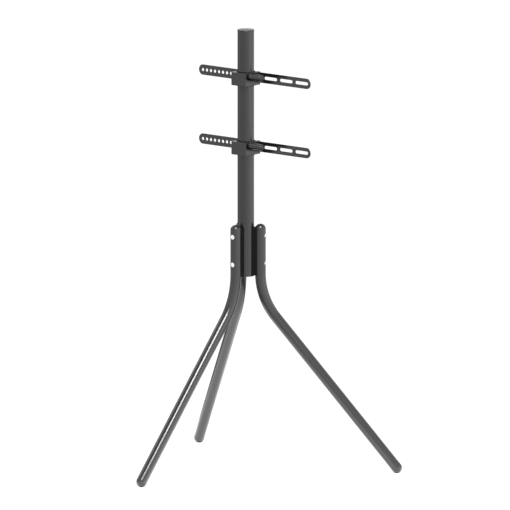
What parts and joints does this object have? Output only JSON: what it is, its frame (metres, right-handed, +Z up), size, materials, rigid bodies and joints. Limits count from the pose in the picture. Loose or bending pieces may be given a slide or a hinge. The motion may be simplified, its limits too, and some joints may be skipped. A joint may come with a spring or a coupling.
{
  "type": "tripod screen stand",
  "caption": "Floor stand with a round mast on bent tube legs with rounded feet, carrying clamping collars with flat bars of holes and slots for hanging a screen.",
  "frame": {"origin": "on the mast's axis at floor level", "axes": "+Z up along the mast, the bars run along X, and the screen hangs on the -Y side; the rear leg points along +Y"},
  "size_m": [0.7962, 0.6937, 1.27],
  "materials": {
    "tube_coat": "satin charcoal powder coat, fine texture",
    "bar_coat": "satin charcoal powder coat, fine texture",
    "collar_coat": "satin charcoal powder coat over a casting",
    "cap_plastic": "charcoal, semi gloss",
    "foot_plastic": "charcoal, satin",
    "saddle_plastic": "black, matt",
    "liner_plastic": "black nylon",
    "knob_plastic": "black, semi gloss",
    "bright_steel": "bright nickel plate",
    "zinc_steel": "zinc plate",
    "dark_steel": "black oxide",
    "pad_brass": "plain turned brass"
  },
  "bodies": {
    "stand": {"mast_tube": "tube_coat", "mast_top_cap": "cap_plastic", "mast_bottom_cap": "cap_plastic", "mast_rivet_nuts": "zinc_steel", "rear_leg_tube": "tube_coat", "rear_leg_cap": "cap_plastic", "rear_leg_foot": "foot_plastic", "rear_saddle": "saddle_plastic", "rear_leg_sleeves": "zinc_steel", "rear_leg_screws": "bright_steel", "left_leg_tube": "tube_coat", "left_leg_cap": "cap_plastic", "left_leg_foot": "foot_plastic", "left_saddle": "saddle_plastic", "left_leg_sleeves": "zinc_steel", "left_leg_screws": "bright_steel", "right_leg_tube": "tube_coat", "right_leg_cap": "cap_plastic", "right_leg_foot": "foot_plastic", "right_saddle": "saddle_plastic", "right_leg_sleeves": "zinc_steel", "right_leg_screws": "bright_steel"},
    "upper_carriage": {"upper_liner": "liner_plastic"},
    "upper_bracket": {"upper_collar": "collar_coat", "upper_bar": "bar_coat", "upper_bar_screws": "dark_steel", "upper_clamp_bush": "dark_steel"},
    "upper_clamp": {"upper_clamp_pad": "pad_brass"},
    "upper_knob": {"upper_clamp_stud": "zinc_steel", "upper_knob_grip": "knob_plastic", "upper_knob_cap": "knob_plastic"},
    "lower_carriage": {"lower_liner": "liner_plastic"},
    "lower_bracket": {"lower_collar": "collar_coat", "lower_bar": "bar_coat", "lower_bar_screws": "dark_steel", "lower_clamp_bush": "dark_steel"},
    "lower_clamp": {"lower_clamp_pad": "pad_brass"},
    "lower_knob": {"lower_clamp_stud": "zinc_steel", "lower_knob_grip": "knob_plastic", "lower_knob_cap": "knob_plastic"}
  },
  "joints": [
    {"name": "upper_height", "type": "slide", "parent": "stand", "child": "upper_carriage", "axis": [0, 0, 1], "range_m": [-0.075, 0.11]},
    {"name": "upper_swivel", "type": "hinge", "parent": "upper_carriage", "child": "upper_bracket", "pos_m": [0, 0, 1.128], "axis": [0, 0, 1], "continuous": true},
    {"name": "upper_clamp_travel", "type": "slide", "parent": "upper_bracket", "child": "upper_clamp", "axis": [-1, 0, 0], "range_m": [0, 0.0025]},
    {"name": "upper_knob_turn", "type": "hinge", "parent": "upper_clamp", "child": "upper_knob", "pos_m": [-0.0506, 0.0144, 1.1356], "axis": [-1, 0, 0], "range_deg": [0, 720]},
    {"name": "lower_height", "type": "slide", "parent": "stand", "child": "lower_carriage", "axis": [0, 0, 1], "range_m": [-0.19, 0.075]},
    {"name": "lower_swivel", "type": "hinge", "parent": "lower_carriage", "child": "lower_bracket", "pos_m": [0, 0, 0.928], "axis": [0, 0, 1], "continuous": true},
    {"name": "lower_clamp_travel", "type": "slide", "parent": "lower_bracket", "child": "lower_clamp", "axis": [-1, 0, 0], "range_m": [0, 0.0025]},
    {"name": "lower_knob_turn", "type": "hinge", "parent": "lower_clamp", "child": "lower_knob", "pos_m": [-0.0506, 0.0144, 0.9356], "axis": [-1, 0, 0], "range_deg": [0, 720]}
  ],
  "couplings": [
    {"joint": "upper_knob_turn", "follows": "upper_clamp_travel", "rad_per_m": 5026.5},
    {"joint": "lower_knob_turn", "follows": "lower_clamp_travel", "rad_per_m": 5026.5}
  ]
}
